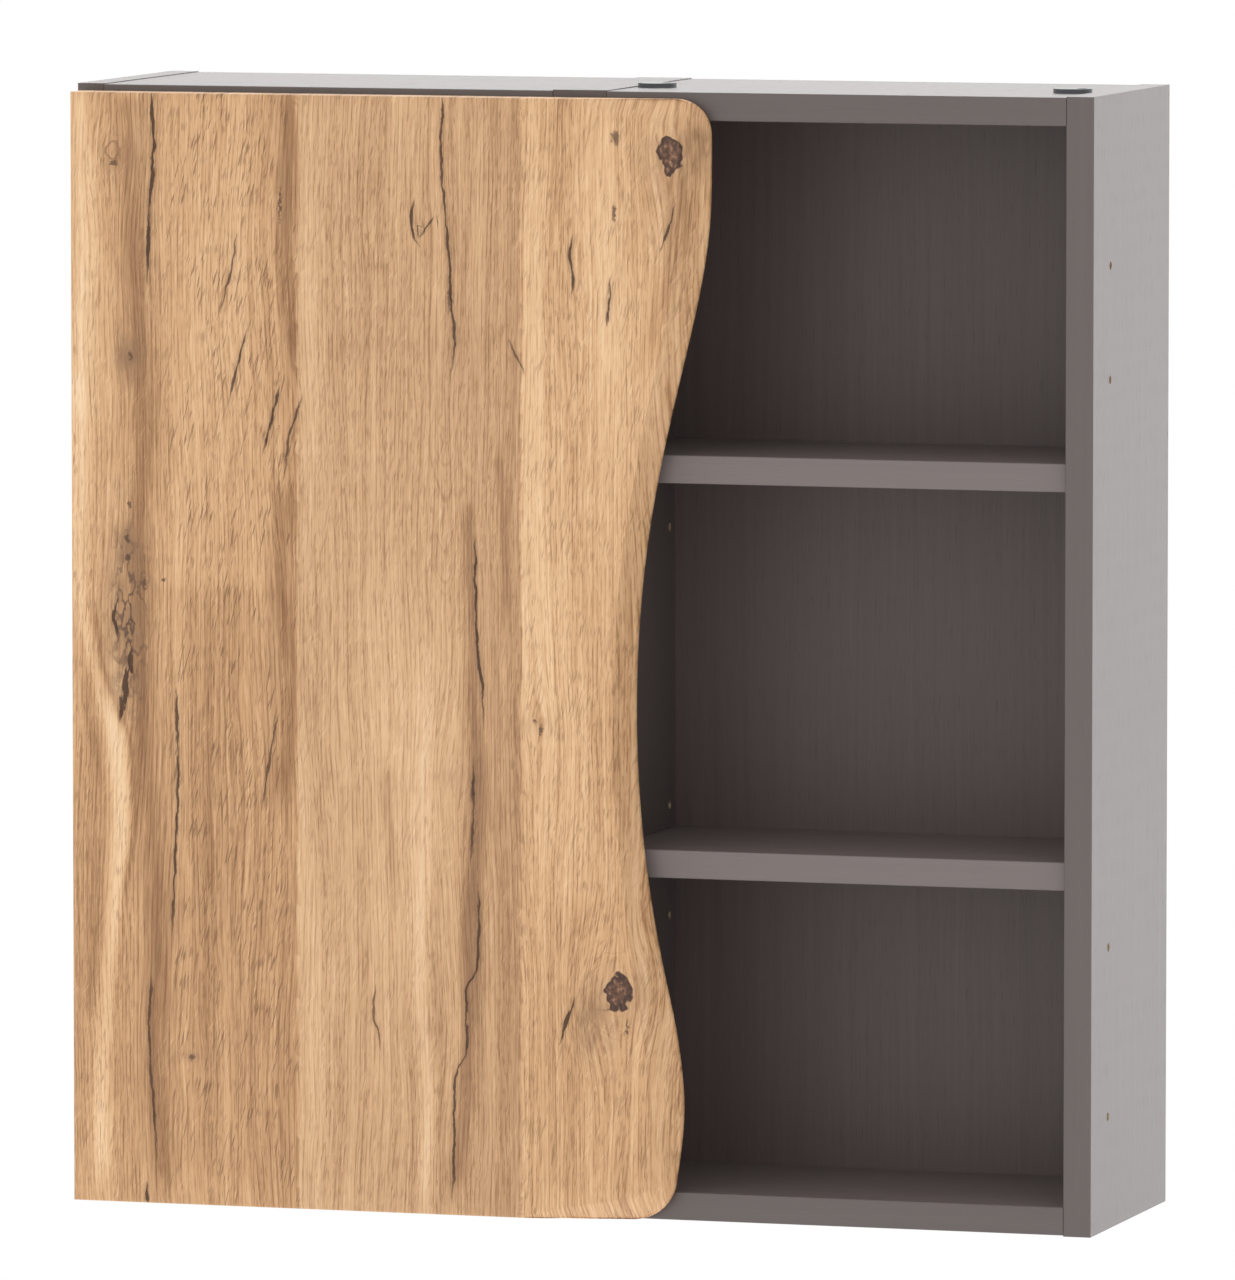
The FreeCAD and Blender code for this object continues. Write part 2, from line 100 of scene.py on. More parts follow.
class Graph:
    """A material under construction. Values may be numbers or sockets."""

    def __init__(self, name):
        self.material = bpy.data.materials.new(name)
        self.material.use_nodes = True
        self.tree = self.material.node_tree
        self.tree.nodes.clear()
        self.output = self.tree.nodes.new("ShaderNodeOutputMaterial")
        self.shader = self.tree.nodes.new("ShaderNodeBsdfPrincipled")
        self.tree.links.new(self.shader.outputs[0], self.output.inputs[0])
        place = self.tree.nodes.new("ShaderNodeTexCoord")
        self.place = place.outputs["Object"]
        split = self.node("ShaderNodeSeparateXYZ", [self.place])
        self.x = self.scale(split.outputs[0], 1000)
        self.y = self.scale(split.outputs[1], 1000)
        self.z = self.scale(self.sub(split.outputs[2], UNDERSIDE), 1000)

    def layer(self, name):
        """A value that the mesh carries at each vertex."""
        made = self.node("ShaderNodeAttribute", attribute_name=name, attribute_type="GEOMETRY")
        return made.outputs["Fac"]

    def feed(self, socket, value):
        if isinstance(value, bpy.types.NodeSocket):
            self.tree.links.new(value, socket)
        else:
            socket.default_value = value

    def node(self, kind, inputs=(), **settings):
        made = self.tree.nodes.new(kind)
        for key, value in settings.items():
            setattr(made, key, value)
        pairs = inputs.items() if isinstance(inputs, dict) else enumerate(inputs)
        for key, value in pairs:
            self.feed(made.inputs[key], value)
        return made

    def math(self, operation, *values):
        return self.node("ShaderNodeMath", values, operation=operation).outputs[0]

    def add(self, *values):
        total = values[0]
        for value in values[1:]:
            total = self.math("ADD", total, value)
        return total

    def sub(self, a, b):
        return self.math("SUBTRACT", a, b)

    def scale(self, a, b):
        return self.math("MULTIPLY", a, b)

    def product(self, *values):
        total = values[0]
        for value in values[1:]:
            total = self.scale(total, value)
        return total

    def most(self, *values):
        total = values[0]
        for value in values[1:]:
            total = self.math("MAXIMUM", total, value)
        return total

    def step(self, value, low, high, out_low=0.0, out_high=1.0):
        """A smooth step from out_low at low to out_high at high."""
        inputs = {0: value, 1: low, 2: high, 3: out_low, 4: out_high}
        made = self.node("ShaderNodeMapRange", inputs, interpolation_type="SMOOTHSTEP")
        return made.outputs[0]

    def vector(self, a, b, c=0.0):
        return self.node("ShaderNodeCombineXYZ", [a, b, c]).outputs[0]

    def noise(self, across, along, width, length, detail=2.0, seed=0.0, roughness=0.5):
        """Noise from 0 to 1 whose patches are about width by length, in millimetres."""
        place = self.vector(self.scale(across, 1 / width), self.scale(along, 1 / length), seed)
        inputs = {"Vector": place, "Scale": 1.0, "Detail": detail, "Roughness": roughness}
        return self.node("ShaderNodeTexNoise", inputs).outputs[0]

    def mix(self, factor, a, b, blend="MIX"):
        made = self.node("ShaderNodeMix", data_type="RGBA", blend_type=blend)
        self.feed(made.inputs[0], factor)
        self.feed(made.inputs[6], a)
        self.feed(made.inputs[7], b)
        return made.outputs[2]

    def ramp(self, value, stops):
        made = self.node("ShaderNodeValToRGB", [value])
        elements = made.color_ramp.elements
        while len(elements) < len(stops):
            elements.new(0.5)
        for element, (at, colour) in zip(elements, stops):
            element.position = at
            element.color = (*colour, 1.0)
        return made.outputs[0]

    def finish(self, colour, roughness, height=None, distance=0.0002, **uniform):
        self.feed(self.shader.inputs["Base Color"], colour)
        self.feed(self.shader.inputs["Roughness"], roughness)
        for key, value in uniform.items():
            self.shader.inputs[key.replace("_", " ")].default_value = value
        if height is not None:
            inputs = {"Height": height, "Distance": distance, "Strength": 1.0}
            bump = self.node("ShaderNodeBump", inputs)
            self.feed(self.shader.inputs["Normal"], bump.outputs[0])
        return self.material


# Oak --------------------------------------------------------------------------------------

# Knots: x, height, half width, half height, strength of the swirl round it
KNOTS = (
    (59.0, 606.0, 7.0, 12.6, 9.0),
    (30.0, 131.0, 9.4, 10.8, 15.0),
    (-271.0, 603.0, 7.0, 8.0, 5.0),
    (-261.0, 486.0, 2.6, 4.5, 3.0),
    (-265.0, 300.0, 5.0, 28.0, 5.0),
    (-225.0, 86.0, 3.0, 2.6, 3.0),
    (-18.0, 282.0, 4.0, 3.0, 4.0),
    (-66.0, 250.0, 6.0, 9.0, 4.0),
    (-84.0, 108.0, 6.0, 9.0, 4.0),
)
# Open dark knots and knots with visible rings: index in KNOTS
DARK_KNOTS = (0, 1)
RING_KNOTS = (2, 3, 5)
# Cracks: half width, then x and height from top to bottom
CRACKS = (
    (0.60, (-248, 640), (-247, 617), (-247, 592), (-249, 573), (-250, 548), (-251, 520)),
    (0.42, (-74, 640), (-75, 600), (-73, 573), (-70, 546), (-69, 519), (-67, 499), (-71, 470)),
    (0.46, (-55, 390), (-55, 361), (-53, 316), (-51, 303), (-50, 272)),
    (0.42, (-234, 300), (-233, 241), (-235, 198), (-237, 147)),
    (0.36, (-249, 135), (-251, 106), (-247, 36), (-247, 14)),
    (0.36, (-56, 262), (-57, 217), (-58, 194)),
    (0.42, (-53, 190), (-55, 140), (-60, 132), (-61, 93), (-66, 84), (-68, 44), (-69, 0)),
    (0.32, (-114, 135), (-116, 113), (-113, 104), (-111, 89)),
    (0.62, (5, 130), (-1, 114), (-6, 99)),
    (0.40, (63, 582), (60, 566), (53, 548)),
    (0.46, (-91, 580), (-92, 558), (-86, 549)),
    (0.40, (-79, 569), (-88, 556)),
    (0.60, (-253, 14), (-252, 0)),
    (1.50, (-260, 322), (-263, 304), (-265, 292), (-268, 275)),
    (0.55, (-268, 352), (-271, 338), (-268, 322)),
    (0.42, (-190, 506), (-196, 484), (-203, 456)),
    (0.50, (-171, 474), (-176, 452), (-183, 428)),
    (0.36, (-157, 468), (-166, 440), (-169, 414)),
    (0.34, (-172, 288), (-179, 252), (-184, 220)),
    (0.36, (-196, 560), (-201, 534), (-208, 508)),
    (0.50, (25, 538), (24, 520), (23, 506)),
    (0.45, (4, 562), (1, 548), (3, 534), (1, 522)),
    (0.30, (-36, 502), (-29, 488), (-25, 478)),
)
# Short dark marks: x, height, half width, half height
MARKS = (
    (28.0, 614.5, 2.5, 4.8),
    (27.0, 572.0, 1.2, 6.0),
    (-262.0, 401.0, 1.3, 2.6),
    (-263.0, 382.0, 1.8, 2.2),
    (-262.5, 371.0, 1.8, 2.2),
    (-260.5, 486.0, 1.3, 3.2),
    (-253.0, 356.0, 2.0, 3.0),
    (-241.0, 359.0, 1.2, 1.6),
    (-271.0, 596.0, 2.5, 1.6),
    (-20.0, 284.0, 1.4, 1.4),
    (-16.0, 279.0, 1.2, 2.4),
    (-225.0, 86.0, 2.0, 2.0),
    (-57.0, 243.0, 1.2, 7.0),
    (35.0, 112.0, 0.8, 6.0),
    (-70.0, 522.0, 1.6, 7.0),
    (-171.0, 574.0, 0.9, 12.0),
)
# Brownish clouds: x, height, half width, half height, strength
CLOUDS = (
    (-256.0, 560.0, 14.0, 110.0, 0.30),
    (-262.0, 335.0, 13.0, 62.0, 0.50),
    (-260.0, 486.0, 7.0, 14.0, 0.42),
    (-271.0, 600.0, 11.0, 14.0, 0.22),
    (-262.0, 377.0, 6.0, 12.0, 0.40),
    (-246.0, 120.0, 13.0, 170.0, 0.22),
    (-170.0, 590.0, 8.0, 80.0, 0.30),
    (-120.0, 494.0, 42.0, 6.0, 0.22),
    (-150.0, 466.0, 20.0, 3.0, 0.12),
    (-82.0, 108.0, 9.0, 13.0, 0.26),
    (-66.0, 251.0, 12.0, 9.0, 0.24),
    (-58.0, 500.0, 26.0, 60.0, 0.16),
    (-176.0, 330.0, 7.0, 60.0, 0.20),
    (60.0, 604.0, 19.0, 22.0, 0.30),
    (72.0, 612.0, 7.0, 18.0, 0.26),
    (58.0, 562.0, 11.0, 30.0, 0.24),
    (30.0, 131.0, 15.0, 16.0, 0.26),
    (14.0, 112.0, 10.0, 22.0, 0.30),
    (22.0, 108.0, 14.0, 26.0, 0.22),
    (-225.0, 86.0, 15.0, 4.0, 0.26),
    (-18.0, 282.0, 14.0, 7.0, 0.26),
    (57.0, 148.0, 22.0, 3.0, 0.20),
    (-54.0, 150.0, 7.0, 200.0, 0.20),
)
# Pale patches: x, height, half width, half height, strength
PALE = (
    (-268.0, 230.0, 6.0, 90.0, 0.24),
    (-288.0, 470.0, 8.0, 120.0, 0.16),
    (-90.0, 190.0, 8.0, 90.0, 0.20),
    (-18.0, 400.0, 20.0, 200.0, 0.10),
    (20.0, 530.0, 26.0, 90.0, 0.10),
    (-215.0, 500.0, 18.0, 120.0, 0.10),
    (-278.0, 40.0, 8.0, 50.0, 0.12),
    (-84.0, 40.0, 6.0, 50.0, 0.16),
)
# Seams between the three glued boards, x
SEAMS = (-161.0, -28.0)
# Long bands: half width, strength (pale above 0, dark below), then their course
BANDS = (
    (
        5.0, 0.26,
        (-290, 480), (-290, 350), (-286, 321), (-272, 264), (-269, 240), (-273, 172),
        (-277, 60), (-278, 0),
    ),
    (1.6, -0.30, (-281, 345), (-277, 318), (-264, 262), (-262, 236), (-266, 172), (-270, 100)),
    (3.0, -0.12, (-292, 330), (-284, 262), (-280, 230), (-284, 160), (-288, 90)),
    (
        7.0, -0.26,
        (-262, 640), (-262, 560), (-254, 500), (-250, 440), (-254, 380), (-252, 250),
        (-243, 60), (-243, 0),
    ),
    (5.0, -0.20, (-165, 640), (-170, 590), (-174, 540), (-168, 500), (-164, 470)),
    (6.5, -0.24, (-166, 420), (-170, 360), (-164, 300), (-172, 220)),
    (5.0, -0.30, (-60, 410), (-58, 300), (-56, 220), (-60, 120), (-64, 20), (-66, 0)),
    (4.0, 0.16, (-90, 330), (-84, 230), (-92, 140), (-86, 60), (-86, 0)),
    (5.0, -0.24, (62, 600), (66, 570), (58, 530), (50, 480)),
    (2.2, -0.26, (-40, 440), (-34, 390), (-38, 330)),
    (6.0, 0.18, (-292, 640), (-288, 560), (-290, 440)),
    (3.0, -0.22, (-104, 260), (-106, 200), (-110, 160)),
    (48.0, -0.10, (-205, 360), (-205, 200), (-205, 0)),
    (44.0, -0.06, (-100, 260), (-100, 120), (-100, 0)),
    (30.0, -0.07, (20, 190), (20, 90), (20, 0)),
)


def patch(g, place, across, along):
    """1 at the middle of an elliptic patch and 0 far from it."""
    x, height, width, tall = place[:4]
    away_x = g.scale(g.sub(across, x), 1 / width)
    away_z = g.scale(g.sub(along, height), 1 / tall)
    square = g.add(g.scale(away_x, away_x), g.scale(away_z, away_z))
    return g.math("EXPONENT", g.scale(square, -1))


def grain_across(g):
    """The coordinate across the grain, in millimetres: lines of it flow round the knots."""
    wander = g.noise(g.x, g.z, 70, 330, detail=2, seed=3.1)
    ripple = g.noise(g.x, g.z, 18, 110, detail=2, seed=8.4)
    across = g.add(g.x, g.scale(g.sub(wander, 0.5), 26), g.scale(g.sub(ripple, 0.5), 5))
    return g.add(across, g.layer("swirl"))


def crack_mask(g):
    """Dark where a crack runs: thin lines that follow their own wandering course."""
    jitter = g.scale(g.sub(g.noise(g.x, g.z, 6, 9, detail=3, seed=5.0), 0.5), 3.4)
    bite = g.noise(g.x, g.z, 3, 16, detail=3, seed=2.0)
    away = g.math("ABSOLUTE", g.add(g.layer("crack_side"), jitter))
    half_width = g.layer("crack_reach")
    reach = g.scale(half_width, g.step(bite, 0.30, 0.62, 0.10, 1.60))
    there = g.step(half_width, 0.03, 0.15)
    core = g.scale(g.step(g.sub(away, reach), 0.50, -0.15), there)
    core = g.scale(core, g.step(half_width, 0.1, 0.48, 0.5, 1.0))
    return core, g.product(g.step(away, 3.6, 0.2), g.step(half_width, 0.05, 0.6))


def dark_knot(g, index):
    """(outline, inside) masks of an open knot with a ragged dark rim."""
    x, height, width, tall, _ = KNOTS[index]
    ragged = g.scale(g.sub(g.noise(g.x, g.z, 7, 8, detail=1.4, seed=index + 1.5), 0.5), 1.5)
    away_x = g.scale(g.sub(g.x, x), 1 / width)
    away_z = g.scale(g.sub(g.z, height), 1 / tall)
    lean = g.add(away_x, g.scale(away_z, 0.45 if index == 0 else -0.2))
    radius = g.math("SQRT", g.add(g.scale(lean, lean), g.scale(away_z, away_z)))
    radius = g.add(radius, ragged)
    inside = g.step(radius, 1.0, 0.88)
    rim = g.scale(inside, g.step(radius, 0.55, 0.86))
    return rim, inside


def oak():
    g = Graph("oiled_oak")
    across = grain_across(g)
    fine = g.noise(across, g.z, 0.8, 30, detail=3, seed=1.0, roughness=0.65)
    lines = g.noise(across, g.z, 2.2, 200, detail=2, seed=4.0)
    bands = g.noise(across, g.z, 9, 380, detail=2, seed=6.0)
    broad = g.noise(across, g.z, 40, 420, detail=1, seed=9.0)
    tone = g.add(
        0.52,
        g.scale(g.sub(fine, 0.5), 0.80),
        g.scale(g.sub(lines, 0.5), 0.44),
        g.scale(g.sub(bands, 0.5), 0.50),
        g.scale(g.sub(broad, 0.5), 0.30),
        g.layer("tone"),
    )
    # Pore lines: close dark stripes along the grain, broken into dashes
    place = g.add(across, g.scale(g.sub(g.noise(g.x, g.z, 9, 150, detail=1, seed=31.0), 0.5), 4.0))
    stripes = g.step(g.math("SINE", g.scale(place, math.tau / 2.6)), 0.2, 1.0)
    broken = g.step(g.noise(g.x, g.z, 2.2, 22, detail=2, seed=33.0), 0.36, 0.62)
    stripes = g.scale(stripes, broken)
    tone = g.sub(tone, g.scale(stripes, 0.22))
    # Ring lines in a nest of arches between the seams
    lift = g.sub(g.x, -73.0)
    arch = g.sub(g.z, g.product(lift, lift, 0.34))
    arch = g.add(arch, g.scale(g.noise(g.x, g.z, 16, 50, detail=2, seed=7.0), 22))
    rings = g.noise(arch, 0.0, 6.5, 1.0, detail=1, seed=34.0)
    nest = g.scale(patch(g, (-73.0, 395.0, 24.0, 70.0), g.x, g.z), g.step(rings, 0.50, 0.66))
    tone = g.sub(tone, g.scale(nest, 0.17))
    # Curls of the grain beside the lower open knot
    turn_x = g.sub(g.x, KNOTS[1][0])
    turn_z = g.sub(g.z, KNOTS[1][1])
    radius = g.math("SQRT", g.add(g.product(turn_x, turn_x, 1.6), g.scale(turn_z, turn_z)))
    radius = g.add(radius, g.scale(g.noise(g.x, g.z, 18, 22, detail=3, seed=35.0), 16))
    curls = g.step(g.noise(radius, 0.0, 2.6, 1.0, detail=2, seed=36.0), 0.50, 0.68)
    curls = g.scale(curls, patch(g, (14.0, 128.0, 24.0, 34.0), g.x, g.z))
    tone = g.sub(tone, g.scale(curls, 0.26))
    # Pores: short dark dashes along the grain, longer and leaning in the left board
    left_board = g.step(g.x, SEAMS[0] + 0.4, SEAMS[0] - 0.4)
    right_board = g.step(g.x, SEAMS[1] - 0.4, SEAMS[1] + 0.4)
    slant = g.sub(across, g.scale(g.z, 0.04))
    pores = g.noise(slant, g.z, 0.8, 8.5, detail=1, seed=11.0)
    pores = g.scale(g.step(pores, 0.55, 0.68), g.step(bands, 0.62, 0.40, 0.35, 1.0))
    lean = g.sub(g.x, g.scale(g.z, 0.24))
    long_pores = g.step(g.noise(lean, g.z, 1.3, 15, detail=2, seed=15.0), 0.56, 0.65)
    sparse = g.step(g.noise(g.x, g.z, 14, 34, detail=2, seed=16.0), 0.40, 0.58)
    where = g.most(g.scale(left_board, g.step(g.x, -250.0, -232.0)), g.scale(right_board, 0.5))
    long_pores = g.product(long_pores, sparse, g.most(where, 0.34))
    # Rays: small pale flecks across the grain
    rays = g.noise(g.sub(g.x, g.scale(g.z, 0.6)), g.z, 1.6, 9.0, detail=1, seed=13.0)
    rays = g.step(rays, 0.60, 0.74)
    rays = g.scale(rays, g.step(g.noise(g.x, g.z, 40, 70, detail=1, seed=14.0), 0.48, 0.60))
    tone = g.add(tone, g.scale(rays, 0.12))
    mottle = g.noise(g.x, g.z, 7, 16, detail=3, seed=38.0)
    cloud = g.scale(g.layer("cloud"), g.step(mottle, 0.2, 0.8, 0.55, 1.45))
    # The right board is a little lighter
    tone = g.add(tone, g.scale(right_board, 0.05))
    wood = g.ramp(
        tone,
        (
            (0.0, (0.250, 0.112, 0.045)),
            (0.28, (0.420, 0.222, 0.100)),
            (0.52, (0.628, 0.366, 0.184)),
            (0.75, (0.790, 0.508, 0.284)),
            (1.0, (0.890, 0.640, 0.395)),
        ),
    )
    greyish = g.mix(0.5, wood, (0.46, 0.315, 0.195, 1.0))
    middle = g.sub(1.0, g.most(left_board, right_board))
    wood = g.mix(g.scale(middle, 0.28), wood, greyish)
    wood = g.mix(g.step(cloud, 0.0, 0.8, 0.0, 0.85), wood, (0.270, 0.146, 0.072, 1.0))
    wood = g.mix(g.scale(pores, 0.46), wood, (0.24, 0.120, 0.052, 1.0))
    wood = g.mix(g.scale(long_pores, 0.72), wood, (0.20, 0.095, 0.042, 1.0))
    # Curly dark lines in the grown-in spot near the left edge
    curly = g.math("ABSOLUTE", g.sub(g.noise(g.x, g.z, 9, 20, detail=3, seed=39.0), 0.5))
    curly = g.scale(g.step(curly, 0.045, 0.010), patch(g, (-262.0, 338.0, 10.0, 44.0), g.x, g.z))
    wood = g.mix(g.scale(curly, 0.95), wood, (0.10, 0.052, 0.030, 1.0))
    # Marks and knots
    mark = 0.0
    ragged_x = g.add(g.x, g.scale(g.sub(g.noise(g.x, g.z, 2, 3, detail=2, seed=17.0), 0.5), 5.0))
    ragged_z = g.add(g.z, g.scale(g.sub(g.noise(g.x, g.z, 3, 2, detail=2, seed=18.0), 0.5), 6.0))
    for place in MARKS:
        mark = g.most(mark, g.step(patch(g, place, ragged_x, ragged_z), 0.20, 0.80))
    wood = g.mix(g.scale(mark, 0.78), wood, (0.085, 0.042, 0.022, 1.0))
    rings = 0.0
    for index in RING_KNOTS:
        x, height, width, tall, _ = KNOTS[index]
        away_x = g.scale(g.sub(g.x, x), 1 / width)
        away_z = g.scale(g.sub(g.z, height), 1 / tall)
        radius = g.math("SQRT", g.add(g.scale(away_x, away_x), g.scale(away_z, away_z)))
        radius = g.add(radius, g.scale(g.noise(g.x, g.z, 5, 5, detail=2, seed=20.0), 0.6))
        turn = g.step(g.math("SINE", g.scale(radius, 9.0)), 0.2, 1.0)
        rings = g.most(rings, g.scale(turn, g.step(radius, 1.7, 1.1)))
    wood = g.mix(g.scale(rings, 0.62), wood, (0.24, 0.120, 0.055, 1.0))
    sunk = mark
    for index in DARK_KNOTS:
        rim, inside = dark_knot(g, index)
        speck = g.noise(g.x, g.z, 2.2, 3.0, detail=3, seed=22.0 + index)
        core = g.ramp(
            speck,
            (
                (0.42, (0.046, 0.017, 0.010)),
                (0.56, (0.150, 0.064, 0.038)),
                (0.74, (0.440, 0.260, 0.145)),
            ),
        )
        wood = g.mix(g.scale(inside, 0.92), wood, core)
        wood = g.mix(g.scale(rim, 0.85), wood, (0.050, 0.022, 0.015, 1.0))
        sunk = g.most(sunk, inside)
    crack, halo = crack_mask(g)
    wood = g.mix(g.scale(halo, 0.36), wood, (0.21, 0.110, 0.055, 1.0))
    wood = g.mix(g.scale(crack, 0.88), wood, (0.050, 0.024, 0.014, 1.0))
    height = g.sub(
        g.add(g.scale(fine, 0.5), g.scale(lines, 0.25)),
        g.add(g.scale(pores, 0.7), g.scale(long_pores, 0.5), g.scale(crack, 3.0), sunk),
    )
    roughness = g.add(0.46, g.scale(fine, 0.12), g.scale(pores, 0.15), g.scale(crack, 0.3))
    return g.finish(wood, roughness, height, 0.00016, Specular_IOR_Level=0.42)


# Dark boards ------------------------------------------------------------------------------

def chipboard(g):
    """Raw pressed chips, as they show in drillings and on unbanded edges."""
    chips = g.noise(g.add(g.x, g.y), g.z, 2.4, 1.4, detail=3, seed=30.0)
    return g.ramp(
        chips,
        (
            (0.30, (0.250, 0.168, 0.094)),
            (0.52, (0.430, 0.318, 0.196)),
            (0.70, (0.560, 0.440, 0.300)),
        ),
    )


def drilling_mask(g):
    """1 on the walls and floors of the sides' holes on the drilling grid, and 0 on the faces."""
    tall = (SIDE_HIGH.z - SIDE_LOW.z) / MM
    inside = g.scale(g.step(g.z, 8, 12), g.step(g.z, tall - 8, tall - 12))
    for name in ("left_outer_side", "left_inner_side", "right_inner_side", "right_outer_side"):
        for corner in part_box(name):
            away = g.math("ABSOLUTE", g.sub(g.x, corner.x / MM))
            inside = g.scale(inside, g.step(away, 0.02, 0.05))
    nearest = g.math("ROUND", g.scale(g.z, 1 / GRID))
    up = g.sub(g.z, g.scale(nearest, GRID))
    total = 0.0
    for row in (FRONT_ROW, REAR_ROW):
        out = g.sub(g.y, row / MM)
        away = g.math("SQRT", g.add(g.scale(up, up), g.scale(out, out)))
        total = g.most(total, g.step(away, HOLE_RADIUS + 0.1, HOLE_RADIUS))
    return g.scale(total, inside)


def laminate(name, colour, grain, holes=False, raw_rear=False, contrast=1.0):
    """Matt dark decor with a fine printed and pressed grain along one axis."""
    g = Graph(name)
    if grain == "upright":
        across = g.add(g.x, g.scale(g.y, 1.7))
        along = g.z
    else:
        across = g.add(g.scale(g.y, 1.3), g.z)
        along = g.x
    wander = g.noise(across, along, 30, 260, detail=2, seed=1.0)
    across = g.add(across, g.scale(wander, 7.0))
    fine = g.noise(across, along, 0.8, 60, detail=3, seed=2.0, roughness=0.65)
    streak = g.noise(across, along, 4.5, 300, detail=2, seed=3.0)
    dashes = g.step(g.noise(across, along, 0.9, 14, detail=1, seed=4.0), 0.60, 0.76)
    tone = g.add(
        1.0,
        g.scale(g.sub(fine, 0.5), 0.42 * contrast),
        g.scale(g.sub(streak, 0.5), 0.36 * contrast),
        g.scale(dashes, -0.16 * contrast),
    )
    base = g.mix(1.0, (*colour, 1.0), g.vector(tone, tone, tone), "MULTIPLY")
    rough = g.add(0.44, g.scale(g.sub(fine, 0.5), 0.14), g.scale(dashes, 0.08))
    raw = 0.0
    if holes:
        raw = drilling_mask(g)
    if raw_rear:
        raw = g.most(raw, g.step(g.y, -0.35, -0.15))
    if holes or raw_rear:
        base = g.mix(raw, base, chipboard(g))
        rough = g.add(rough, g.scale(raw, 0.4))
    height = g.sub(g.scale(fine, 0.6), g.scale(dashes, 0.8))
    return g.finish(base, rough, height, 0.00005)


def plastic(name, colour, roughness):
    g = Graph(name)
    grain = g.node("ShaderNodeTexNoise", {"Vector": g.place, "Scale": 1800.0, "Detail": 2.0})
    cloud = g.node("ShaderNodeTexNoise", {"Vector": g.place, "Scale": 140.0, "Detail": 3.0})
    shade = g.add(0.88, g.scale(cloud.outputs[0], 0.24))
    base = g.mix(1.0, (*colour, 1.0), g.vector(shade, shade, shade), "MULTIPLY")
    rough = g.add(roughness, g.scale(g.sub(cloud.outputs[0], 0.5), 0.12))
    return g.finish(base, rough, grain.outputs[0], 0.00003)


def metal(name, colour, roughness, brushed):
    g = Graph(name)
    brush = g.noise(g.add(g.x, g.y), g.z, 0.25, brushed, detail=2, seed=1.0)
    cloud = g.node("ShaderNodeTexNoise", {"Vector": g.place, "Scale": 90.0, "Detail": 3.0})
    shade = g.add(0.86, g.scale(cloud.outputs[0], 0.18), g.scale(brush, 0.10))
    base = g.mix(1.0, (*colour, 1.0), g.vector(shade, shade, shade), "MULTIPLY")
    rough = g.add(roughness, g.scale(g.sub(cloud.outputs[0], 0.5), 0.18))
    return g.finish(base, rough, brush, 0.00001, Metallic=1.0)


def turned_wood(name):
    """Plain pale hardwood with its grain along X, for dowels."""
    g = Graph(name)
    fine = g.noise(g.add(g.y, g.z), g.x, 0.6, 9, detail=3, seed=1.0)
    base = g.ramp(fine, ((0.3, (0.45, 0.30, 0.17)), (0.6, (0.66, 0.48, 0.30))))
    return g.finish(base, g.add(0.55, g.scale(fine, 0.15)), fine, 0.00008)


# Meshes -----------------------------------------------------------------------------------

def piece_from(name, mesh, material, body, slot, *nodes):
    """A finished piece that stands for CAD nodes and rides on a body."""
    piece = bpy.data.objects.new(name, mesh)
    bpy.context.scene.collection.objects.link(piece)
    mesh.materials.append(material)
    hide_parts(*nodes)
    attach(piece, body)
    return piece


def loose_boxes(node):
    """The corners of each separate solid of a node."""
    mesh = bmesh.new()
    mesh.from_mesh(frame["nodes"][node].data)
    bmesh.ops.remove_doubles(mesh, verts=mesh.verts, dist=1e-6)
    left = set(mesh.verts)
    boxes = []
    while left:
        stack = [left.pop()]
        found = list(stack)
        while stack:
            for edge in stack.pop().link_edges:
                for vertex in edge.verts:
                    if vertex in left:
                        left.discard(vertex)
                        stack.append(vertex)
                        found.append(vertex)
        places = np.array([v.co for v in found])
        boxes.append((Vector(places.min(0)), Vector(places.max(0))))
    mesh.free()
    return sorted(boxes, key=lambda pair: tuple(pair[0]))


def edge_strips(name, material, node):
    """Edge bands with their two long front edges rounded over."""
    mesh = bmesh.new()
    for low, high in loose_boxes(node):
        made = bmesh.ops.create_cube(mesh, size=1.0)["verts"]
        for vertex in made:
            share = vertex.co + Vector((0.5, 0.5, 0.5))
            vertex.co = low + Vector(s * d for s, d in zip(share, high - low))
        tall = high.z - low.z > high.x - low.x
        axis = 2 if tall else 0
        rounded = [
            edge
            for edge in {e for v in made for e in v.link_edges}
            if all(abs(v.co.y - low.y) < 1e-6 for v in edge.verts)
            and abs((edge.verts[0].co - edge.verts[1].co)[axis]) > 1e-3
        ]
        bmesh.ops.bevel(
            mesh, geom=rounded, offset=BAND_ROUND, segments=4, profile=0.5, affect="EDGES"
        )
    data = bpy.data.meshes.new(name)
    mesh.to_mesh(data)
    mesh.free()
    data.shade_smooth()
    data.set_sharp_from_angle(angle=math.radians(35))
    return piece_from(name, data, material, "cabinet", "edge_band", node)


